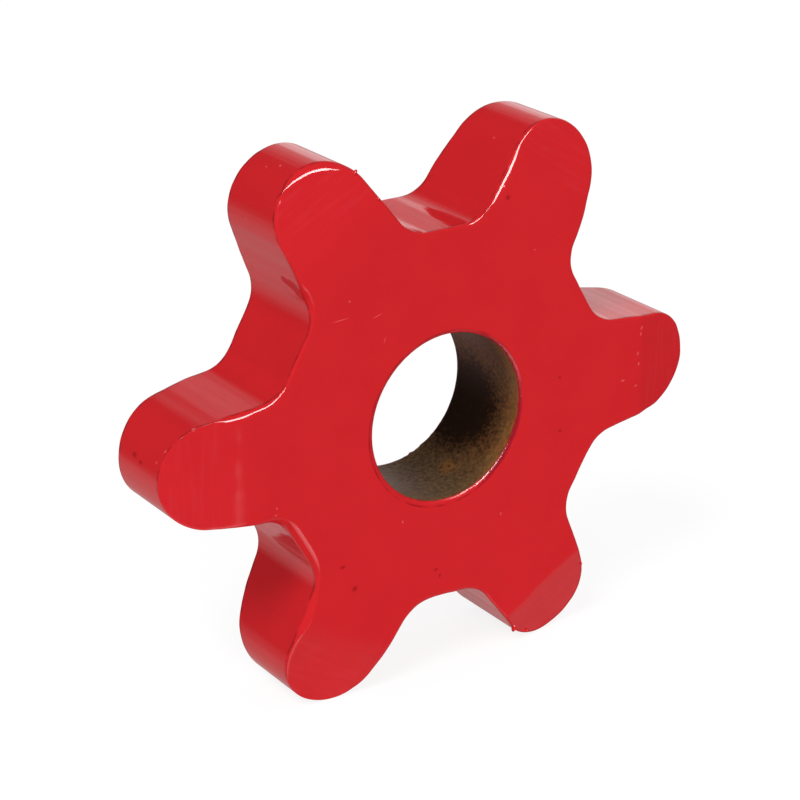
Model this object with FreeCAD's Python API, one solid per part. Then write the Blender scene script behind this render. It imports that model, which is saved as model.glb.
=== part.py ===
import FreeCAD, Part
import math
import os

# A six-tooth chain star in one piece. It is flame-cut from thick steel plate, bored right
# through for the shaft it is welded to, and its tooth tips are ground to a bevel on both
# faces, so that each tooth leads the chain's links in.
#
# The origin is on the bore's axis, halfway through the plate. The axis runs along Y and the
# front face looks along -Y. The first tooth points along +X, and the star stands on the
# tips of its two lower teeth, with Z up.

# The plate and its bore, in millimetres
TOOTH_COUNT = 6
OUTSIDE_DIAMETER = 180.0
PLATE_THICKNESS = 32.0
BORE_DIAMETER = 50.0
BORE_CHAMFER = 1.2

# The outline of a tooth and of the gap beside it
ACROSS_GAP_FLOORS = 112.0
GAP_CORNER_RADIUS = 11.0
TIP_RADIUS = 15.5
FLANK_TAPER_DEG = 7.0

# The bevel ground on each side of a tooth tip, and the broken edges of the outline
BEVEL_LENGTH = 20.5
BEVEL_ANGLE_DEG = 13.0
BEVEL_CREASE_RADIUS = 12.0
EDGE_BREAK = 1.0

# The share of the flat beside a gap corner that its arc may use up
CORNER_ROOM = 0.95
# How near two places count as one
TOUCHING = 0.001

PITCH_DEG = 360.0 / TOOTH_COUNT
TIP_REACH = OUTSIDE_DIAMETER / 2
FLOOR_DISTANCE = ACROSS_GAP_FLOORS / 2
BEVEL_START = TIP_REACH - BEVEL_LENGTH
FACE_LEVEL = PLATE_THICKNESS / 2
CENTRE = FreeCAD.Vector(0, 0, 0)
SHAFT_AXIS = FreeCAD.Vector(0, 1, 0)


def across(degrees, distance=1.0):
    """The point at a distance from the bore's axis, at an angle that grows from +X to +Z."""
    turn = math.radians(degrees)
    return FreeCAD.Vector(distance * math.cos(turn), 0, distance * math.sin(turn))


def mirrored(point):
    """The same point on the other flank of the tooth that points along +X."""
    return FreeCAD.Vector(point.x, point.y, -point.z)


def meeting_point(normal_a, distance_a, normal_b, distance_b):
    """Where two lines of the outline cross, each given by its normal and its distance."""
    spread = normal_a.x * normal_b.z - normal_a.z * normal_b.x
    x = (distance_a * normal_b.z - distance_b * normal_a.z) / spread
    z = (normal_a.x * distance_b - normal_b.x * distance_a) / spread
    return FreeCAD.Vector(x, 0, z)


def tooth_edges():
    """One tooth along +X and the gap floor after it: corner, flank, tip, flank, corner, floor."""
    tip_centre = across(0, TIP_REACH - TIP_RADIUS)
    flank_normal = across(90 - FLANK_TAPER_DEG)
    flank_top = tip_centre + flank_normal * TIP_RADIUS
    flank_distance = flank_top.dot(flank_normal)

    floor_normal = across(PITCH_DEG / 2)
    floor_middle = floor_normal * FLOOR_DISTANCE
    sharp_corner = meeting_point(flank_normal, flank_distance, floor_normal, FLOOR_DISTANCE)

    # The corner arc touches the flank and the floor, and leaves some of each straight.
    half_turn = math.radians(90 - FLANK_TAPER_DEG - PITCH_DEG / 2) / 2
    room = CORNER_ROOM * min(
        sharp_corner.distanceToPoint(floor_middle),
        sharp_corner.distanceToPoint(flank_top),
    )
    corner_radius = min(GAP_CORNER_RADIUS, room / math.tan(half_turn))
    corner_centre = meeting_point(
        flank_normal,
        flank_distance + corner_radius,
        floor_normal,
        FLOOR_DISTANCE + corner_radius,
    )
    flank_foot = corner_centre - flank_normal * corner_radius
    floor_start = corner_centre - floor_normal * corner_radius
    to_sharp_corner = sharp_corner - corner_centre
    corner_middle = corner_centre + to_sharp_corner.normalize() * corner_radius

    floor_along = floor_middle - floor_start
    floor_end = floor_middle + floor_along
    tooth_tip = across(0, TIP_REACH)

    return [
        Part.Arc(mirrored(floor_start), mirrored(corner_middle), mirrored(flank_foot)).toShape(),
        Part.LineSegment(mirrored(flank_foot), mirrored(flank_top)).toShape(),
        Part.Arc(mirrored(flank_top), tooth_tip, flank_top).toShape(),
        Part.LineSegment(flank_top, flank_foot).toShape(),
        Part.Arc(flank_foot, corner_middle, floor_start).toShape(),
        Part.LineSegment(floor_start, floor_end).toShape(),
    ]


def star_plate():
    """The flame-cut plate, still square-edged: the tooth's edges repeated round the bore."""
    edges = []
    for tooth in range(TOOTH_COUNT):
        for edge in tooth_edges():
            edge.rotate(CENTRE, SHAFT_AXIS * -1, tooth * PITCH_DEG)
            edges.append(edge)
    outline = Part.Wire(Part.__sortEdges__(edges))
    outline.translate(SHAFT_AXIS * -FACE_LEVEL)
    return Part.Face(outline).extrude(SHAFT_AXIS * PLATE_THICKNESS)


def bevel_ring(flat_radius, level):
    """The corners of a regular polygon at one level of the plate, one side square to each tooth."""
    corner_radius = flat_radius / math.cos(math.radians(PITCH_DEG / 2))
    return [
        across((k + 0.5) * PITCH_DEG, corner_radius) + SHAFT_AXIS * level
        for k in range(TOOTH_COUNT)
    ]


def flat_face(corners):
    """A flat face with these corners."""
    return Part.Face(Part.makePolygon(corners + corners[:1]))


def bevel_envelope():
    """The body that the ground bevels leave: flat in the middle, sloping away over each tooth."""
    middle_radius = BEVEL_START + FACE_LEVEL / math.tan(math.radians(BEVEL_ANGLE_DEG))
    front = bevel_ring(BEVEL_START, -FACE_LEVEL)
    middle = bevel_ring(middle_radius, 0)
    back = bevel_ring(BEVEL_START, FACE_LEVEL)
    faces = [flat_face(front), flat_face(back)]
    for face_ring in (front, back):
        for k in range(TOOTH_COUNT):
            faces.append(flat_face([face_ring[k - 1], face_ring[k], middle[k], middle[k - 1]]))
    return Part.makeSolid(Part.makeShell(faces))


def crease_edges(star):
    """The lines across the teeth where the flat face breaks into the bevel."""
    middles = [
        across(k * PITCH_DEG, BEVEL_START) + SHAFT_AXIS * level
        for k in range(TOOTH_COUNT)
        for level in (-FACE_LEVEL, FACE_LEVEL)
    ]
    return [
        edge
        for edge in star.Edges
        if any(edge.CenterOfMass.distanceToPoint(middle) < TOUCHING for middle in middles)
    ]


def rim_edges(star):
    """The edges round the outline on both faces, where the flame-cut wall ends."""
    rim = []
    for face in star.Faces:
        u_low, u_high, v_low, v_high = face.ParameterRange
        normal = face.normalAt((u_low + u_high) / 2, (v_low + v_high) / 2)
        if abs(normal.dot(SHAFT_AXIS)) > TOUCHING:
            continue
        for edge in face.Edges:
            span = edge.Vertexes[-1].Point - edge.Vertexes[0].Point
            if abs(span.dot(SHAFT_AXIS)) < span.Length / 2:
                rim.append(edge)
    return rim


def bore_cutter():
    """The shaft hole with its mouths broken, as one turned shape about the bore's axis."""
    wall = BORE_DIAMETER / 2
    mouth = wall + 2 * BORE_CHAMFER
    wall_end = FACE_LEVEL - BORE_CHAMFER
    cutter_end = FACE_LEVEL + BORE_CHAMFER
    profile = [
        FreeCAD.Vector(0, -cutter_end, 0),
        FreeCAD.Vector(mouth, -cutter_end, 0),
        FreeCAD.Vector(wall, -wall_end, 0),
        FreeCAD.Vector(wall, wall_end, 0),
        FreeCAD.Vector(mouth, cutter_end, 0),
        FreeCAD.Vector(0, cutter_end, 0),
    ]
    return flat_face(profile).revolve(CENTRE, SHAFT_AXIS, 360)


star = star_plate().common(bevel_envelope())
star = star.makeFillet(BEVEL_CREASE_RADIUS, crease_edges(star))
star = star.makeChamfer(EDGE_BREAK, rim_edges(star))
sprocket = star.cut(bore_cutter())

os.makedirs("parts", exist_ok=True)
sprocket.exportStep("parts/sprocket.step")

print("valid", sprocket.isValid(), "solids", len(sprocket.Solids), "faces", len(sprocket.Faces))
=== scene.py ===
import math

import bmesh
import bpy
from mathutils import Matrix, Vector, noise


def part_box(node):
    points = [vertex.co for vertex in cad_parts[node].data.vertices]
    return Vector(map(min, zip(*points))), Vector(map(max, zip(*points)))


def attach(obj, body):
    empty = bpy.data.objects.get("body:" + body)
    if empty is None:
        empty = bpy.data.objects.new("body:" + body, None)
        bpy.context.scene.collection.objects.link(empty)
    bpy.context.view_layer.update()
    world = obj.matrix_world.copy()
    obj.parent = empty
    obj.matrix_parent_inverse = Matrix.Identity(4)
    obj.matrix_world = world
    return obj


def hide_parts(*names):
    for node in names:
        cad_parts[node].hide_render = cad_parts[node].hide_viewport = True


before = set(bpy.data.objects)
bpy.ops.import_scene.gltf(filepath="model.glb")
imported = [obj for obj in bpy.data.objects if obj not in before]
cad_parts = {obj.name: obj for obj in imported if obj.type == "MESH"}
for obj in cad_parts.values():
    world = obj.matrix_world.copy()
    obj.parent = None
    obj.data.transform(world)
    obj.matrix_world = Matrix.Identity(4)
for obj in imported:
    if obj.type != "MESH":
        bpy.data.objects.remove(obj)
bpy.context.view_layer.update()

# Outline of the star
# The sprocket is one plate of thick structural steel, flame-cut to six blunt teeth round a
# plain bore. Half a tooth and half a gap are drawn here as a wire, and the rest is copies.

MM = 0.001
box_low, box_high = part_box("sprocket")
tip_reach = box_high.x
face_level = box_high.y

tooth_count = 6
pitch = 2 * math.pi / tooth_count
tip_radius = 15.5 * MM
flank_taper = math.radians(7)
corner_radius = 11 * MM
floor_distance = 56 * MM
wire_step = 0.8 * MM


def across(angle, distance=1.0):
    """The point at a distance from the bore's axis, at an angle that grows from +X to +Z."""
    return Vector((math.cos(angle), 0, math.sin(angle))) * distance


def crossing(normal_a, distance_a, normal_b, distance_b):
    """Where two straight sides cross, each given by its normal and its distance."""
    spread = normal_a.x * normal_b.z - normal_a.z * normal_b.x
    x = (distance_a * normal_b.z - distance_b * normal_a.z) / spread
    z = (normal_a.x * distance_b - normal_b.x * distance_a) / spread
    return Vector((x, 0, z))


tip_centre = across(0, tip_reach - tip_radius)
flank_normal = across(math.pi / 2 - flank_taper)
flank_top = tip_centre + flank_normal * tip_radius
floor_normal = across(pitch / 2)
floor_middle = floor_normal * floor_distance
corner_centre = crossing(
    flank_normal,
    flank_top.dot(flank_normal) + corner_radius,
    floor_normal,
    floor_distance + corner_radius,
)
flank_foot = corner_centre - flank_normal * corner_radius
floor_start = corner_centre - floor_normal * corner_radius
flank_along = (flank_foot - flank_top).normalized()
floor_along = (floor_middle - floor_start).normalized()
corner_turn = math.pi / 2 - flank_taper - pitch / 2

star = bmesh.new()
outward = star.verts.layers.float_vector.new("outward")
foot = star.verts.layers.float_vector.new("foot")
plain_by = star.verts.layers.float_vector.new("plain_by")
round_by = star.verts.layers.float_vector.new("round_by")
ground_by = star.verts.layers.float_vector.new("ground_by")


def steps_along(length):
    """How many wire steps a stretch of the outline takes."""
    return max(1, round(length / wire_step))


def draw_arc(start, centre, turn, radius):
    """An arc of the wire from its start, turning from +X to +Z where the turn is positive."""
    arc = bmesh.ops.spin(
        star, geom=[start], cent=centre, axis=(0, -1, 0), angle=turn,
        steps=steps_along(abs(turn) * radius),
    )
    return arc["geom_last"][0]


def draw_line(start, end):
    """A straight stretch of the wire from its start to a point."""
    steps = steps_along((end - start.co).length)
    line = bmesh.ops.spin(
        star, geom=[start], cent=(0, 0, 0), axis=(0, -1, 0), dvec=(end - start.co) / steps,
        angle=0, steps=steps,
    )
    return line["geom_last"][0]


def outward_at(place):
    """Square to the outline and away from the steel, at a point of the wire."""
    if (place - tip_centre).dot(flank_along) <= 0:
        return (place - tip_centre).normalized()
    if (place - corner_centre).dot(flank_along) <= 0:
        return flank_normal
    if (place - corner_centre).dot(floor_along) <= 0:
        return (corner_centre - place).normalized()
    return floor_normal


tip = bmesh.ops.create_vert(star, co=across(0, tip_reach))["vert"][0]
flank_end = draw_arc(tip, tip_centre, math.pi / 2 - flank_taper, tip_radius)
corner_end = draw_line(flank_end, flank_foot)
floor_end = draw_arc(corner_end, corner_centre, -corner_turn, corner_radius)
draw_line(floor_end, floor_middle)
for vert in star.verts:
    vert[foot] = vert.co
    vert[outward] = outward_at(vert.co)

# Rim and wall of the star
# The cut edge of the plate is 32 mm high, with its corners broken by a quick pass of the
# grinder and filled round by the paint. Each row below is one ring from face to mid-wall.

face_margin = 5 * MM
rim_support = 0.8 * MM
rim_segments = 6
wall_rings = 15


def ring_rows():
    """Each ring's inset, depth and share of half the plate, and its place on a rim of radius 1."""
    yield Vector((face_margin, 0, 0)), Vector((0, 0, 0)), Vector((0, 0, 0))
    yield Vector((rim_support, 0, 0)), Vector((1, 0, 0)), Vector((1, 0, 0))
    for k in range(rim_segments + 1):
        share = k / rim_segments
        turn = math.pi / 2 * share
        yield (
            Vector((0, 0, 0)),
            Vector((1 - math.sin(turn), 1 - math.cos(turn), 0)),
            Vector((1 - share, share ** 1.6, 0)),
        )
    for k in range(wall_rings + 1):
        share = k / wall_rings
        on_rim = Vector((0, 1 - share, 0))
        yield Vector((0, rim_support * (1 - share), share)), on_rim, on_rim


ring_edges = list(star.edges)
for row, (plain, rounded, ground) in enumerate(ring_rows()):
    if row:
        made = bmesh.ops.extrude_edge_only(star, edges=ring_edges)["geom"]
        ring_edges = [part for part in made if isinstance(part, bmesh.types.BMEdge)]
    for vert in {vert for edge in ring_edges for vert in edge.verts}:
        vert[plain_by] = plain
        vert[round_by] = rounded
        vert[ground_by] = ground
        vert.co = vert[foot] - vert[outward] * (plain.x + rounded.x * MM)
        vert.co.y = plain.y + rounded.y * MM + plain.z * face_level - face_level
    if row == 0:
        face_edge = list(ring_edges)

# Bore and face
# The bore is turned to 50 mm with both mouths chamfered. The flat face runs from the
# rim to the mouth, and is cut in strips that lie along each tooth and across it.

bore_radius = 25 * MM
mouth_rows = (
    (3.0, 0.0), (1.75, 0.0), (1.4, 0.01), (1.2, 0.06), (0.9, 0.16), (0.55, 0.3), (0.3, 0.45),
    (0.14, 0.6), (0.05, 0.78), (0.0, 1.05), (0.0, 2.4), (0.0, 5.0), (0.0, 8.0), (0.0, 12.0), (0.0, 16.0),
)
bore_steps = 20

mouth_verts = []
for out, down in mouth_rows:
    place = Vector((bore_radius + out * MM, down * MM - face_level, 0))
    mouth_verts += bmesh.ops.create_vert(star, co=place)["vert"]
for vert in mouth_verts:
    vert[plain_by] = Vector((-1, 0, 0))
mouth_edges = [star.edges.new(pair) for pair in zip(mouth_verts, mouth_verts[1:])]
bmesh.ops.spin(
    star, geom=mouth_verts + mouth_edges, cent=(0, 0, 0), axis=(0, -1, 0),
    angle=pitch / 2, steps=bore_steps,
)

# keep what is round the flat face apart, fill it and cut it in strips
mouth_radius = bore_radius + mouth_rows[0][0] * MM
mouth_arc = [
    edge for edge in star.edges
    if all(abs(vert.co.length - Vector((mouth_radius, face_level)).length) < 1e-6 for vert in edge.verts)
    and edge.is_boundary
]


def ends(edges):
    """The two ends of an open chain of edges, the one on the tooth's line first."""
    verts = [vert for edge in edges for vert in edge.verts]
    return sorted((vert for vert in verts if verts.count(vert) == 1), key=lambda vert: vert.co.z)


spokes = [star.edges.new(pair) for pair in zip(ends(mouth_arc), ends(face_edge))]
rings = set(star.faces)
bmesh.ops.edgeloop_fill(star, edges=mouth_arc + face_edge + spokes)


def flat_parts():
    """The flat face's own faces, with their edges and corners."""
    faces = [face for face in star.faces if face not in rings]
    edges = {edge for face in faces for edge in face.edges}
    verts = {vert for face in faces for vert in face.verts}
    return faces + list(edges) + list(verts)


face_cell = 2 * MM
crease_cell = 0.8 * MM
crease_zone = (60 * MM, 78 * MM)
cut = 0
while cut < tip_reach:
    bmesh.ops.bisect_plane(star, geom=flat_parts(), plane_co=(cut, 0, 0), plane_no=(1, 0, 0), dist=1e-6)
    cut += crease_cell if crease_zone[0] < cut < crease_zone[1] else face_cell
for k in range(1, math.ceil(tip_reach / face_cell)):
    bmesh.ops.bisect_plane(
        star, geom=flat_parts(), plane_co=(0, 0, k * face_cell), plane_no=(0, 0, 1), dist=1e-6
    )
for vert in star.verts:
    if not any(face in rings for face in vert.link_faces):
        vert[plain_by] = Vector((-1, 0, 0))

# the other half of the plate, the tooth's other side, and the other five teeth
for axis in ("Y", "Z"):
    bmesh.ops.mirror(star, geom=star.verts[:] + star.edges[:] + star.faces[:], axis=axis, merge_dist=1e-7)
bmesh.ops.spin(
    star, geom=star.verts[:] + star.edges[:] + star.faces[:], cent=(0, 0, 0), axis=(0, -1, 0),
    angle=2 * math.pi, steps=tooth_count, use_duplicate=True, use_merge=False,
)
bmesh.ops.remove_doubles(star, verts=star.verts[:], dist=0.01 * MM)
bmesh.ops.recalc_face_normals(star, faces=star.faces[:])

# Ground bevels and broken corners
# A grinder has sloped both sides of every tooth tip by hand, so no two creases sit alike,
# and has run along the rims, where it leaves a corner that is broader in some places.

bevel_starts = (70.2, 66.2, 66.7, 66.0, 69.0, 71.4)
crease_blends = ((1.5, 1.5), (6.0, 6.0), (9.0, 9.0), (2.5, 5.0), (4.0, 4.0), (0.8, 0.8))
tip_drop = 4.75 * MM
tooth_width = 34 * MM
rim_size = 0.85 * MM
rim_least = 0.05 * MM
rim_spread = 0.5
rim_wave = 14 * MM
rim_nicks = 0.3
ground_width = 3.5 * MM
ground_depth = 2.0 * MM
nick_wave = 4 * MM
# bearing in degrees, distance, reach and added radius in mm, and how flat it is ground
front_rim_places = (
    (115.7, 88.8, 9, 0.3, 0.5), (207, 56, 11, 0.0, 0.75), (135, 62, 5, 0.0, 0.4), (182, 90, 20, -0.85, 0.0),
    (165, 64, 8, 0.4, 0.0), (240, 88, 19, -0.8, 0.0), (228, 67, 6, 0.0, 0.6), (73.5, 71, 9, 0.0, 0.3),
    (77.3, 60.6, 2.2, -1.2, 0.0), (123.8, 89.6, 1.3, -1.0, 0.0), (167, 69, 4, 0.0, 0.3), (170.5, 81, 7, -0.9, 0.0),
)
# bearing and reach in degrees, and how far outwards the torch strayed in mm
torch_strays = (
    (14, 8, -0.4), (27, 8, -0.4), (40, 5, -0.5), (56, 6, -0.25), (108, 5, -0.3), (132, 4, -0.3), (148, 9, 0.3), (228, 4, 0.2),
    (267, 6, -0.6), (312, 4, -0.5), (350, 4, -0.5),
)
torch_wave = 12 * MM
torch_ripple = 0.16 * MM
bore_offset = Vector((0.4, 0, -0.1)) * MM
mouth_offset = Vector((0, 0, -0.38)) * MM
back_mouth_depth = 1.8
burr_size = 0.7 * MM
burr_wave = 1.3 * MM
burr_middle = 292
burr_reach = 16


def bevel_drop(tooth, along, sideways):
    """How deep the bevel lies under the flat face, at a place on a tooth."""
    start = bevel_starts[tooth] * MM
    near, far = crease_blends[tooth]
    blend = (near + (far - near) * min(1, max(0, sideways / tooth_width + 0.5))) * MM
    past = along - start + 0.5 * MM * noise.noise(Vector((sideways / (6 * MM), tooth * 7.3, 0)))
    slope = tip_drop / (tip_reach - start)
    if past <= -blend:
        return 0.0
    if past >= blend:
        return slope * past
    return slope * (past + blend) ** 2 / (4 * blend)


def rim_at(place, front):
    """The radius of the rim at a place of the outline, and how flat it is ground."""
    place_on = place + Vector((0, front * 0.3, 0))
    spread = rim_spread * noise.noise(place_on / rim_wave) + rim_nicks * noise.noise(place_on / nick_wave)
    radius = rim_size * (1 + spread)
    flatness = 0.0
    if front < 0:
        for bearing, distance, reach, added, flat in front_rim_places:
            gap = (place - across(math.radians(bearing), distance * MM)).length / (reach * MM)
            radius += added * MM * math.exp(-gap ** 4)
            flatness += flat * math.exp(-gap ** 4)
    return max(rim_least, radius), flatness


def stray_at(place):
    """How far outwards the cut wall lies from the drawn outline, at a place of it."""
    stray = torch_ripple * (noise.noise(place / torch_wave) - 0.6)
    bearing = math.degrees(math.atan2(place.z, place.x)) % 360
    for middle, reach, outwards in torch_strays:
        gap = (bearing - middle) / reach
        stray += outwards * MM * math.exp(-gap * gap)
    return stray


on_tooth = star.verts.layers.float_vector.new("on_tooth")
rim_line = star.verts.layers.float.new("rim_line")
for vert in star.verts:
    tooth = round(math.atan2(vert.co.z, vert.co.x) / pitch) % tooth_count
    lengthwise = across(tooth * pitch)
    crosswise = across(tooth * pitch + math.pi / 2)
    front = -1 if vert.co.y < 0 else 1
    if vert[plain_by].x >= 0:
        side = 1 if vert.co.dot(crosswise) >= 0 else -1
        away = lengthwise * vert[outward].x + crosswise * side * vert[outward].z
        place = lengthwise * vert[foot].x + crosswise * side * vert[foot].z
        rim, flatness = rim_at(place, front)
        at_corner = vert[round_by].y == 1 and vert[plain_by].z == 0
        vert[rim_line] = 1 - flatness if at_corner and vert[plain_by].y == 0 else 0.0
        rounded = vert[round_by] * rim * (1 - flatness)
        ground = vert[ground_by] * flatness
        inset = vert[plain_by].x + rounded.x + ground.x * ground_width
        place += away * (stray_at(place) * (1 - vert[plain_by].x / face_margin) - inset)
        half = face_level - bevel_drop(tooth, place.dot(lengthwise), place.dot(crosswise))
        depth = vert[plain_by].y + rounded.y + ground.y * ground_depth + vert[plain_by].z * half
        vert.co = place + Vector((0, front * (half - depth), 0))
    else:
        half = face_level - bevel_drop(tooth, vert.co.dot(lengthwise), vert.co.dot(crosswise))
        vert.co.y *= half / face_level
        out = (Vector((vert.co.x, vert.co.z)).length - bore_radius) / MM
        loose = min(1, max(0, (mouth_rows[0][0] - out) / 1.6))
        bearing = math.degrees(math.atan2(vert.co.z, vert.co.x)) % 360
        burr = burr_size * (0.12 + math.exp(-((bearing - burr_middle) / burr_reach) ** 2))
        under = face_level - abs(vert.co.y)
        if front > 0 and under < 1.5 * MM and out < 2:
            vert.co.y = face_level - under * back_mouth_depth
        rough = burr * noise.noise(vert.co / burr_wave) * max(0, 1 - abs(out - 0.55) / 0.55)
        vert.co += (bore_offset + mouth_offset * min(1, max(0, out / 1.2))) * loose
        vert.co += across(math.radians(bearing), rough)
    vert[on_tooth] = Vector((vert.co.dot(lengthwise), vert.co.dot(crosswise), vert.co.y))

bare_from = face_level - 0.69 * MM
for face in star.faces:
    middle = face.calc_center_median()
    in_bore = (Vector((middle.x, 0, middle.z)) - bore_offset).length < bore_radius + 0.1 * MM
    face.material_index = 1 if in_bore and abs(middle.y) < bare_from else 0

mesh = bpy.data.meshes.new("sprocket_star")
star.to_mesh(mesh)
star.free()
mesh.shade_smooth()
sprocket = bpy.data.objects.new("sprocket_star", mesh)
bpy.context.scene.collection.objects.link(sprocket)
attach(sprocket, "root")
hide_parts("sprocket")

# Red enamel
# Machine enamel, brushed and run on thick in one coat: a hard glossy film over a strong red
# pigment, so the colour is even and deep and only its reflections vary.


def linear(hex_colour):
    """An sRGB hex colour as the linear colour that a shader takes."""
    channels = [int(hex_colour[k:k + 2], 16) / 255 for k in (1, 3, 5)]
    return [c / 12.92 if c <= 0.04045 else ((c + 0.055) / 1.055) ** 2.4 for c in channels] + [1]


def add(tree, kind, inputs=(), **settings):
    """A new node with its settings, and each input set to a value or linked to an output."""
    node = tree.nodes.new(kind)
    for name, value in settings.items():
        setattr(node, name, value)
    for socket, value in dict(inputs).items():
        if isinstance(value, bpy.types.NodeSocket):
            tree.links.new(value, node.inputs[socket])
        else:
            node.inputs[socket].default_value = value
    return node


# marks in the paint: x, y and z, half-length and half-width in mm, and turn from +X in degrees
grit = (
    (20.5, -16, 61.1, 0.9, 0.8, 0), (40.0, -16, 3.2, 0.6, 0.6, 0), (40.5, -16, -13.6, 0.6, 0.6, 0),
    (-31.4, -16, -44.6, 1.1, 0.9, 40), (-35.3, -16, -36.9, 1.1, 0.6, 0), (-3.6, -16, -46.4, 0.9, 0.5, 20),
    (-2.2, -16, -48.7, 0.7, 0.5, 60), (-89.4, 2.3, 4.3, 0.9, 0.9, 0), (-89.6, -1.4, 3.4, 0.7, 0.7, 0),
)
# pale dust specks in the film; their pale colour is also a painted glint, the light each raised speck catches
dust_and_glints = (
    (19.5, -16, 64.4, 0.35, 0.35, 0), (30.1, -16, 44.1, 0.3, 0.25, 60), (-15.0, -16, -28.2, 0.25, 0.5, 0),
    (70.2, -15.9, 12.1, 0.7, 0.4, 60), (69.9, -15.9, 10.3, 0.6, 0.4, 80), (69.0, -16, 4.3, 0.65, 0.35, 80),
    (69.5, -16, 0.9, 0.6, 0.4, 90), (63.6, -16, -3.1, 0.8, 0.3, 0), (68.6, -16, -5.8, 0.6, 0.3, 20),
    (-56.2, -16, -13.3, 0.35, 0.3, 0), (-56.6, -16, -15.3, 0.3, 0.3, 0), (19.4, -16, -34.7, 0.25, 0.5, 0),
    (-79.5, -13.0, 14.5, 0.5, 0.4, 40), (-86.9, -10.7, 9.2, 0.5, 0.35, 60), (-88.8, -9.0, 5.9, 0.45, 0.35, 70),
    (25.2, -2.6, 74.3, 0.35, 0.35, 0), (-46.3, 1.9, 77.1, 0.3, 0.3, 0), (-44.6, -2.5, 78.1, 0.35, 0.35, 0),
    (-52.7, 2.7, 63.6, 0.35, 0.35, 0), (-31.9, -16, 41.4, 0.3, 0.3, 0),
)
mouth_ring_centre = Vector((0.2, 0, -0.38)) * MM
dark_line_radius = 26.3 * MM
scratches = ((-34.9, -16, 36.6, 2.8, 0.16, 4), (-23.0, -16, 35.4, 1.7, 0.16, 16), (-20.7, -16, 27.9, 1.0, 0.15, 70))
# places on the wall of one gap where the gloss is taken off and the colour darkened: a painted dark reflection of
# the next tooth
painted_reflection_spots = (
    (-46.6, -7.2, 47.9, 1.7, 1.7, 0), (-46.3, -10.4, 47.2, 2.6, 2.6, 0),
    (-45.6, -13.2, 45.4, 2.6, 2.6, 0),
)

enamel = bpy.data.materials.new("machine_enamel_red_gloss")
enamel.use_nodes = True
tree = enamel.node_tree
tree.nodes.clear()
coordinates = add(tree, "ShaderNodeTexCoord").outputs
place = coordinates["Object"]
facing = add(tree, "ShaderNodeSeparateXYZ", {"Vector": coordinates["Normal"]}).outputs["Y"]
level_part = add(tree, "ShaderNodeMath", {0: facing}, operation="ABSOLUTE")
on_wall = add(tree, "ShaderNodeMapRange", {
    "Value": level_part.outputs[0], "From Min": 0.25, "From Max": 0.7, "To Min": 1.0, "To Max": 0.0,
}).outputs["Result"]
along_tooth = add(tree, "ShaderNodeAttribute", attribute_name="on_tooth").outputs["Vector"]
lengthwise = add(tree, "ShaderNodeSeparateXYZ", {"Vector": along_tooth}).outputs["X"]
on_bevel = add(tree, "ShaderNodeMapRange", {
    "Value": lengthwise, "From Min": 68 * MM, "From Max": 74 * MM,
}).outputs["Result"]


def spot(x, y, z, long, wide, turn):
    """How far a point lies inside one soft-edged oval mark."""
    oval = add(tree, "ShaderNodeMapping", {
        "Vector": place, "Location": Vector((x, y, z)) * MM, "Rotation": (0, -math.radians(turn), 0),
        "Scale": Vector((long, 1.5 * wide, wide)) * MM,
    }, vector_type="TEXTURE")
    apart = add(tree, "ShaderNodeVectorMath", {0: oval.outputs["Vector"]}, operation="LENGTH")
    return add(tree, "ShaderNodeMapRange", {
        "Value": apart.outputs["Value"], "From Min": 0.1, "From Max": 1.3, "To Min": 1.0, "To Max": 0.0,
    }, interpolation_type="SMOOTHSTEP").outputs["Result"]


def spots(marks):
    """The highest of the marks' levels at a point."""
    highest = 0.0
    for mark in marks:
        highest = add(tree, "ShaderNodeMath", {0: spot(*mark), 1: highest}, operation="MAXIMUM").outputs[0]
    return highest


# the torch's drag lines run through the plate's thickness, under a film that fills them
drag_place = add(tree, "ShaderNodeVectorMath", {0: place, 1: (1, 0.05, 1)}, operation="MULTIPLY").outputs[0]
swells = add(tree, "ShaderNodeTexNoise", {"Vector": drag_place, "Scale": 1 / (13 * MM), "Detail": 1.5})
lines = add(tree, "ShaderNodeTexNoise", {"Vector": drag_place, "Scale": 1 / (1.1 * MM), "Detail": 2.0})
film = add(tree, "ShaderNodeTexNoise", {"Vector": place, "Scale": 1 / (9 * MM), "Detail": 2.0})
bump = add(tree, "ShaderNodeBump", {"Height": film.outputs["Fac"], "Distance": 0.05 * MM})
streak_place = add(tree, "ShaderNodeVectorMath", {
    0: along_tooth, 1: (1 / (1.4 * MM), 1 / (14 * MM), 0),
}, operation="MULTIPLY").outputs[0]
streaks = add(tree, "ShaderNodeTexNoise", {"Vector": streak_place, "Scale": 1.0, "Detail": 2.0})
for height, depth, part in ((swells, 1.1, on_wall), (lines, 0.05, on_wall), (streaks, 0.02, on_bevel)):
    bump = add(tree, "ShaderNodeBump", {
        "Strength": part, "Height": height.outputs["Fac"], "Distance": depth * MM, "Normal": bump.outputs["Normal"],
    })
# the chamfer at the mouth of the bore was left rough, so its paint breaks up any light
flat_place = add(tree, "ShaderNodeVectorMath", {0: place, 1: (1, 0, 1)}, operation="MULTIPLY").outputs[0]
from_mouth = add(tree, "ShaderNodeVectorMath", {0: flat_place, 1: mouth_ring_centre}, operation="DISTANCE")
chamfer_part = add(tree, "ShaderNodeMapRange", {
    "Value": from_mouth.outputs["Value"], "From Min": 25.9 * MM, "From Max": 26.5 * MM,
    "To Min": 1.0, "To Max": 0.0,
}).outputs["Result"]
crumbs = add(tree, "ShaderNodeTexNoise", {"Vector": place, "Scale": 1 / (0.8 * MM), "Detail": 2.0})
bump = add(tree, "ShaderNodeBump", {
    "Strength": chamfer_part, "Height": crumbs.outputs["Fac"], "Distance": 0.16 * MM,
    "Normal": bump.outputs["Normal"],
})
grit_part = spots(grit)
dust_and_glint_part = spots(dust_and_glints)
scratch_part = spots(scratches)
painted_reflection_part = add(tree, "ShaderNodeMath", {
    0: lines.outputs["Fac"], 1: 0.7, 2: spots(painted_reflection_spots),
}, operation="MULTIPLY_ADD")
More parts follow.
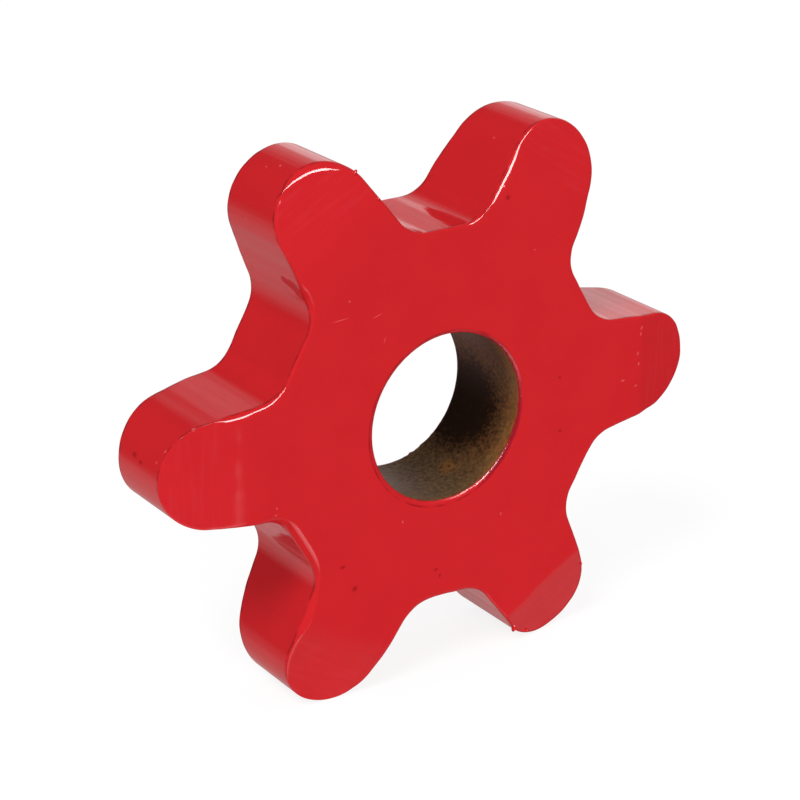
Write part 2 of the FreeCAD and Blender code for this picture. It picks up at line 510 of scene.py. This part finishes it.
painted_reflection_part = add(tree, "ShaderNodeMapRange", {
    "Value": painted_reflection_part.outputs[0], "From Min": 0.7, "From Max": 0.85,
}).outputs["Result"]
gloss = add(tree, "ShaderNodeMapRange", {"Value": painted_reflection_part, "To Min": 0.5, "To Max": 0.03}).outputs["Result"]
# a thin darker line runs round the mouth of the bore, a little outside the chamfer, in broken patches
off_ring = add(tree, "ShaderNodeMath", {0: from_mouth.outputs["Value"], 1: dark_line_radius}, operation="SUBTRACT")
off_ring = add(tree, "ShaderNodeMath", {0: off_ring.outputs[0]}, operation="ABSOLUTE")
ring_part = add(tree, "ShaderNodeMapRange", {
    "Value": off_ring.outputs[0], "From Min": 0.08 * MM, "From Max": 0.35 * MM, "To Min": 1.0, "To Max": 0.0,
}).outputs["Result"]
patches = add(tree, "ShaderNodeTexNoise", {"Vector": place, "Scale": 1 / (6 * MM), "Detail": 3.0})
patches = add(tree, "ShaderNodeMapRange", {
    "Value": patches.outputs["Fac"], "From Min": 0.35, "From Max": 0.6,
}).outputs["Result"]
dark_line_part = add(tree, "ShaderNodeMath", {0: ring_part, 1: patches}, operation="MULTIPLY").outputs[0]
# the darker colour there is painted: it stands in for the next tooth's dark reflection in that wall
painted_reflection_shade = add(tree, "ShaderNodeMath", {0: painted_reflection_part, 1: 0.2}, operation="MULTIPLY").outputs[0]
dark_part = add(tree, "ShaderNodeMath", {0: dark_line_part, 1: grit_part}, operation="MAXIMUM").outputs[0]
dark_part = add(tree, "ShaderNodeMath", {0: dark_part, 1: painted_reflection_shade}, operation="MAXIMUM").outputs[0]
# the colour is darker along the sharp corner of the rim, in broken stretches
at_rim = add(tree, "ShaderNodeAttribute", attribute_name="rim_line").outputs["Fac"]
rim_breaks = add(tree, "ShaderNodeTexNoise", {"Vector": place, "Scale": 1 / (2.5 * MM), "Detail": 3.0})
rim_breaks = add(tree, "ShaderNodeMapRange", {"Value": rim_breaks.outputs["Fac"], "From Min": 0.4, "From Max": 0.62})
dark_rim_part = add(tree, "ShaderNodeMath", {0: at_rim, 1: rim_breaks.outputs["Result"]}, operation="MULTIPLY").outputs[0]
pale_part = add(tree, "ShaderNodeMath", {0: scratch_part, 1: dust_and_glint_part}, operation="MAXIMUM").outputs[0]
bump = add(tree, "ShaderNodeBump", {
    "Height": dust_and_glint_part, "Distance": 0.08 * MM, "Normal": bump.outputs["Normal"],
})
clouds = add(tree, "ShaderNodeTexNoise", {"Vector": place, "Scale": 1 / (16 * MM), "Detail": 3.0})
paint = add(tree, "ShaderNodeMix", {
    0: clouds.outputs["Fac"], 6: linear("#c72126"), 7: linear("#bf1e24"),
}, data_type="RGBA").outputs[2]
# the grinder's strokes across the bevels are painted as slightly paler streaks, a painted sheen for the light they
# catch
streak_sheen_part = add(tree, "ShaderNodeMapRange", {
    "Value": streaks.outputs["Fac"], "From Min": 0.5, "From Max": 0.8, "To Min": 0.0, "To Max": 0.13,
})
streak_sheen_part = add(tree, "ShaderNodeMath", {0: streak_sheen_part.outputs[0], 1: on_bevel}, operation="MULTIPLY")
off_wall = add(tree, "ShaderNodeMath", {0: 1.0, 1: on_wall}, operation="SUBTRACT")
streak_sheen_part = add(tree, "ShaderNodeMath", {
    0: streak_sheen_part.outputs[0], 1: off_wall.outputs[0],
}, operation="MULTIPLY")
paint = add(tree, "ShaderNodeMix", {
    0: streak_sheen_part.outputs[0], 6: paint, 7: linear("#d04455"),
}, data_type="RGBA").outputs[2]
# on the chamfer's right side the paint is made dull, and darkened there as painted shade
dull_and_shade_part = add(tree, "ShaderNodeSeparateXYZ", {"Vector": place}).outputs["X"]
dull_and_shade_part = add(tree, "ShaderNodeMapRange", {"Value": dull_and_shade_part, "From Min": 10 * MM, "From Max": 16 * MM})
dull_and_shade_part = add(tree, "ShaderNodeMath", {0: dull_and_shade_part.outputs[0], 1: chamfer_part}, operation="MULTIPLY").outputs[0]
paint = add(tree, "ShaderNodeMix", {
    0: dull_and_shade_part, 6: paint, 7: linear("#8a1220"),
}, data_type="RGBA").outputs[2]
dullness = add(tree, "ShaderNodeMapRange", {"Value": dull_and_shade_part, "To Min": 0.1, "To Max": 0.18}).outputs[0]
# darker red for the grit, the thin line round the mouth, and the painted dark reflection on the gap wall
paint = add(tree, "ShaderNodeMix", {
    0: dark_part, 6: paint, 7: linear("#98141a"),
}, data_type="RGBA").outputs[2]
paint = add(tree, "ShaderNodeMix", {
    0: dark_rim_part, 6: paint, 7: linear("#681a1b"),
}, data_type="RGBA").outputs[2]
# pale for the scratches, and for the dust specks as a painted glint
paint = add(tree, "ShaderNodeMix", {
    0: pale_part, 6: paint, 7: linear("#dc5357"),
}, data_type="RGBA").outputs[2]
shader = add(tree, "ShaderNodeBsdfPrincipled", {
    "Base Color": paint,
    "Roughness": dullness,
    "IOR": 1.5,
    "Specular IOR Level": gloss,
    "Normal": bump.outputs["Normal"],
})
add(tree, "ShaderNodeOutputMaterial", {"Surface": shader.outputs["BSDF"]})
mesh.materials.append(enamel)

# Nibs and runs of paint
# Spatter from the torch sticks to the cut wall, and thick paint sags to the low points of the
# rim. Both have set under the enamel as small round drops.

# x, y and z in mm, the bearing that it points along, how far it stands out and how wide it is
drops = (
    (-28.0, -13.2, 76.0, 51, 0.95, 1.0), (-22.0, -15.1, 68.2, 37, 0.5, 0.9), (26.1, -14.2, -74.7, 255, 1.3, 1.4),
    (31.8, -13.2, -77.6, 247, 0.5, 1.0), (50.7, -14.6, -60.0, 21, 0.4, 1.0),
)
nibs = bmesh.new()
for x, y, z, bearing, out, wide in drops:
    stand = Matrix.Translation(Vector((x, y, z)) * MM) @ Matrix.Rotation(-math.radians(bearing), 4, "Y")
    shape = Matrix.Diagonal((out, wide / 2, wide / 2, 1))
    bmesh.ops.create_icosphere(nibs, subdivisions=3, radius=MM, matrix=stand @ shape)
nib_mesh = bpy.data.meshes.new("paint_nibs")
nibs.to_mesh(nib_mesh)
nibs.free()
nib_mesh.shade_smooth()
nib_mesh.materials.append(enamel)
paint_nibs = bpy.data.objects.new("paint_nibs", nib_mesh)
bpy.context.scene.collection.objects.link(paint_nibs)
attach(paint_nibs, "root")

# Bare bore
# The bore is the plate's own steel, turned and left unpainted. It has gone dark with oxide
# and a trace of oil, its colour runs from near black deep inside to rust brown towards the
# front mouth, and a darkest spot on its right wall is painted shade.

steel = bpy.data.materials.new("turned_steel_dark_rust_bloom")
steel.use_nodes = True
tree = steel.node_tree
tree.nodes.clear()
place = add(tree, "ShaderNodeTexCoord").outputs["Object"]
parts = add(tree, "ShaderNodeSeparateXYZ", {"Vector": place}).outputs
near_mouth = add(tree, "ShaderNodeMapRange", {
    "Value": parts["Y"], "From Min": -13.5 * MM, "From Max": -9 * MM, "To Min": 0.35, "To Max": 0.0,
}, interpolation_type="SMOOTHSTEP").outputs["Result"]
on_right = add(tree, "ShaderNodeMapRange", {
    "Value": parts["X"], "From Min": 8 * MM, "From Max": 20 * MM, "To Min": 0.3, "To Max": 1.0,
}).outputs["Result"]
# darkest round one spot on the right wall at mid-depth and rustier away from it: that spot is painted shade for the
# dark this wall mirrors
from_painted_shade = add(tree, "ShaderNodeVectorMath", {0: place, 1: Vector((24, 8, -9)) * MM}, operation="DISTANCE")
away = add(tree, "ShaderNodeMapRange", {
    "Value": from_painted_shade.outputs["Value"], "From Min": 6.5 * MM, "From Max": 20 * MM, "To Min": -0.18, "To Max": 0.36,
}, interpolation_type="SMOOTHSTEP")
grain = add(tree, "ShaderNodeTexNoise", {"Vector": place, "Scale": 1 / (1.1 * MM), "Detail": 6.0, "Roughness": 0.65}).outputs["Fac"]
bloom = add(tree, "ShaderNodeMath", {0: grain, 1: 1.7, 2: away.outputs["Result"]}, operation="MULTIPLY_ADD")
bloom = add(tree, "ShaderNodeMath", {0: bloom.outputs[0], 1: 0.86}, operation="SUBTRACT")
rust = add(tree, "ShaderNodeMath", {
    0: near_mouth, 1: on_right, 2: bloom.outputs[0],
}, operation="MULTIPLY_ADD", use_clamp=True)
drifts = add(tree, "ShaderNodeTexNoise", {"Vector": place, "Scale": 1 / (9 * MM), "Detail": 2.0})
rusts = add(tree, "ShaderNodeMix", {
    0: drifts.outputs["Fac"], 6: linear("#8a4c26"), 7: linear("#7e6038"),
}, data_type="RGBA").outputs[2]
rusts = add(tree, "ShaderNodeMix", {0: on_right, 6: linear("#7c6748"), 7: rusts}, data_type="RGBA").outputs[2]
oxide = add(tree, "ShaderNodeMix", {0: rust.outputs[0], 6: linear("#1d0f09"), 7: rusts}, data_type="RGBA").outputs[2]
# fresh rust, golden and loose, sits along the mouth on the right and in one blot low down
lip = add(tree, "ShaderNodeMapRange", {
    "Value": parts["Y"], "From Min": -14.6 * MM, "From Max": -13.4 * MM, "To Min": 1.0, "To Max": 0.0,
}).outputs["Result"]
low_right = add(tree, "ShaderNodeMapRange", {
    "Value": parts["Z"], "From Min": -4 * MM, "From Max": 8 * MM, "To Min": 1.0, "To Max": 0.2,
}).outputs["Result"]
lip = add(tree, "ShaderNodeMath", {0: lip, 1: low_right}, operation="MULTIPLY").outputs[0]
lip = add(tree, "ShaderNodeMath", {0: lip, 1: on_right}, operation="MULTIPLY").outputs[0]
fresh = add(tree, "ShaderNodeMath", {0: lip, 1: spot(10.2, -1.3, -22.8, 4, 2.4, 0)}, operation="MAXIMUM").outputs[0]
speckle = add(tree, "ShaderNodeMapRange", {"Value": grain, "From Min": 0.38, "From Max": 0.6}).outputs["Result"]
fresh = add(tree, "ShaderNodeMath", {0: fresh, 1: speckle}, operation="MULTIPLY").outputs[0]
oxide = add(tree, "ShaderNodeMix", {0: fresh, 6: oxide, 7: linear("#845222")}, data_type="RGBA").outputs[2]
turning = add(tree, "ShaderNodeVectorMath", {0: place, 1: (0.02, 1, 0.02)}, operation="MULTIPLY")
marks = add(tree, "ShaderNodeTexNoise", {"Vector": turning.outputs[0], "Scale": 1 / (0.5 * MM)})
marks = add(tree, "ShaderNodeBump", {"Height": marks.outputs["Fac"], "Distance": 0.02 * MM})
shader = add(tree, "ShaderNodeBsdfPrincipled", {
    "Base Color": oxide,
    "Roughness": 0.45,
    "IOR": 1.45,
    "Specular IOR Level": 0.18,
    "Specular Tint": linear("#ffdca8"),
    "Normal": marks.outputs["Normal"],
})
add(tree, "ShaderNodeOutputMaterial", {"Surface": shader.outputs["BSDF"]})
mesh.materials.append(steel)

# Floor, backdrop and light
# The star stands on a plain pale floor in a white room, under one soft light from the left
# and another from above.

room = 6.0
floor_mesh = bpy.data.meshes.new("floor")
ground = bmesh.new()
bmesh.ops.create_grid(ground, x_segments=1, y_segments=1, size=room / 2)
ground.to_mesh(floor_mesh)
ground.free()
floor = bpy.data.objects.new("floor", floor_mesh)
floor.location.z = box_low.z
floor.visible_glossy = False
bpy.context.scene.collection.objects.link(floor)

pale = bpy.data.materials.new("pale_matt_floor")
pale.use_nodes = True
tree = pale.node_tree
tree.nodes.clear()
rays = add(tree, "ShaderNodeLightPath").outputs
seen = add(tree, "ShaderNodeMath", {0: rays["Is Camera Ray"], 1: rays["Is Transmission Ray"]}, operation="ADD")
glow_level = add(tree, "ShaderNodeMath", {0: seen.outputs[0], 1: 0.85}, operation="MULTIPLY")
cover_level = add(tree, "ShaderNodeMath", {0: seen.outputs[0], 1: -0.6, 2: 0.78}, operation="MULTIPLY_ADD")
floor_cover = add(tree, "ShaderNodeBsdfDiffuse", {"Color": cover_level.outputs[0]})
floor_glow = add(tree, "ShaderNodeEmission", {"Color": (1, 1, 1, 1), "Strength": glow_level.outputs[0]})
both = add(tree, "ShaderNodeAddShader", {0: floor_cover.outputs[0], 1: floor_glow.outputs[0]})
add(tree, "ShaderNodeOutputMaterial", {"Surface": both.outputs[0]})
floor_mesh.materials.append(pale)

world = bpy.data.worlds.new("white_room")
bpy.context.scene.world = world
world.use_nodes = True
tree = world.node_tree
tree.nodes.clear()
rays = add(tree, "ShaderNodeLightPath").outputs
seen = add(tree, "ShaderNodeMath", {0: rays["Is Camera Ray"], 1: rays["Is Transmission Ray"]}, operation="ADD")
looking = add(tree, "ShaderNodeTexCoord").outputs["Generated"]


def towards(direction, start, end, high):
    """A level that rises from nothing to high as a look nears a direction, between two cosines."""
    cosine = add(tree, "ShaderNodeVectorMath", {0: looking, 1: direction.normalized()}, operation="DOT_PRODUCT")
    return add(tree, "ShaderNodeMapRange", {
        "Value": cosine.outputs["Value"], "From Min": start, "From Max": end, "To Min": 0, "To Max": high,
    }, interpolation_type="SMOOTHSTEP").outputs["Result"]


def band(start, end, reach, edge, high):
    """A level inside a long soft band of looks, from one direction to another."""
    off = add(tree, "ShaderNodeVectorMath", {0: looking, 1: start.cross(end).normalized()}, operation="DOT_PRODUCT")
    off = add(tree, "ShaderNodeMath", {0: off.outputs["Value"]}, operation="ABSOLUTE")
    inside = add(tree, "ShaderNodeMapRange", {
        "Value": off.outputs[0], "From Min": reach, "From Max": reach + edge, "To Min": 1, "To Max": 0,
    }, interpolation_type="SMOOTHSTEP")
    middle = (start.normalized() + end.normalized()).normalized()
    half = middle.dot(start.normalized())
    along = towards(middle, half - edge / 4, half, high)
    return add(tree, "ShaderNodeMath", {0: inside.outputs["Result"], 1: along}, operation="MULTIPLY").outputs[0]


# What gloss shows of the room: a window behind on the right and the pale floor behind, both
# with the star's own red cast on them, a brighter pane in that window, pools of light on the
# floor in front, and a long light bank over the camera. The rest is dim.
shine = (0.04, 0.04, 0.04)
for level, colour in (
    (towards(Vector((0.75, 0.6, 0.2)), 0.7, 0.95, 0.66), "#ffdfdf"),
    (towards(Vector((0.64, 0.76, 0.12)), 0.978, 0.99, 0.4), "#ffffff"),
    (towards(Vector((-0.12, 0.62, -0.78)), 0.62, 0.93, 0.6), "#ffcbcb"),
    (towards(Vector((0.55, -0.43, -0.71)), 0.92, 1.0, 0.32), "#ffffff"),
    (band(Vector((0.246, -0.854, -0.457)), Vector((0, -0.7, -0.71)), 0.05, 0.05, 0.9), "#ffffff"),
    (towards(Vector((0, -0.72, -0.69)), 0.95, 0.985, 1.4), "#ffffff"),
    (band(Vector((-0.5, -0.7, 0.51)), Vector((0.42, -0.73, 0.54)), 0.14, 0.06, 22), "#ffffff"),
):
    shine = add(tree, "ShaderNodeVectorMath", {
        0: level, 1: linear(colour)[:3], 2: shine,
    }, operation="MULTIPLY_ADD").outputs[0]
lit = add(tree, "ShaderNodeMix", {
    0: rays["Is Glossy Ray"], 6: (0.5, 0.5, 0.5, 1), 7: shine,
}, data_type="RGBA").outputs[2]
shown = add(tree, "ShaderNodeMix", {0: seen.outputs[0], 6: lit, 7: (1, 1, 1, 1)}, data_type="RGBA").outputs[2]
sky = add(tree, "ShaderNodeBackground", {"Color": shown})
add(tree, "ShaderNodeOutputWorld", {"Surface": sky.outputs[0]})


def soft_sun(name, direction, spread, strength):
    """A soft light from far away in a direction."""
    lamp = bpy.data.lights.new(name, "SUN")
    lamp.angle = math.radians(spread)
    lamp.energy = strength
    holder = bpy.data.objects.new(name, lamp)
    bpy.context.scene.collection.objects.link(holder)
    holder.matrix_world = (-Vector(direction)).to_track_quat("-Z", "Y").to_matrix().to_4x4()
    holder.visible_glossy = False


soft_sun("key_light", (-0.25, -0.9, 0.36), 22, 1.4)
soft_sun("side_light", (-0.55, -0.3, 0.78), 20, 1.35)

# Camera
camera_lens = 110
camera_distance = 0.699895
camera_azimuth = math.radians(-33.980)
camera_elevation = math.radians(22.226)
camera_roll = math.radians(-0.240)
camera_aim = Vector((-3.426, 2.357, 0.097)) * MM
camera = bpy.data.objects.new("camera", bpy.data.cameras.new("camera"))
bpy.context.scene.collection.objects.link(camera)
bpy.context.scene.camera = camera
camera.data.lens = camera_lens
camera.data.sensor_width = 36
towards_camera = Vector((
    math.sin(camera_azimuth) * math.cos(camera_elevation),
    -math.cos(camera_azimuth) * math.cos(camera_elevation),
    math.sin(camera_elevation),
))
camera.matrix_world = (
    Matrix.Translation(camera_aim + towards_camera * camera_distance)
    @ (-towards_camera).to_track_quat("-Z", "Y").to_matrix().to_4x4()
    @ Matrix.Rotation(camera_roll, 4, "Z")
)
bpy.context.scene.view_settings.view_transform = "Standard"
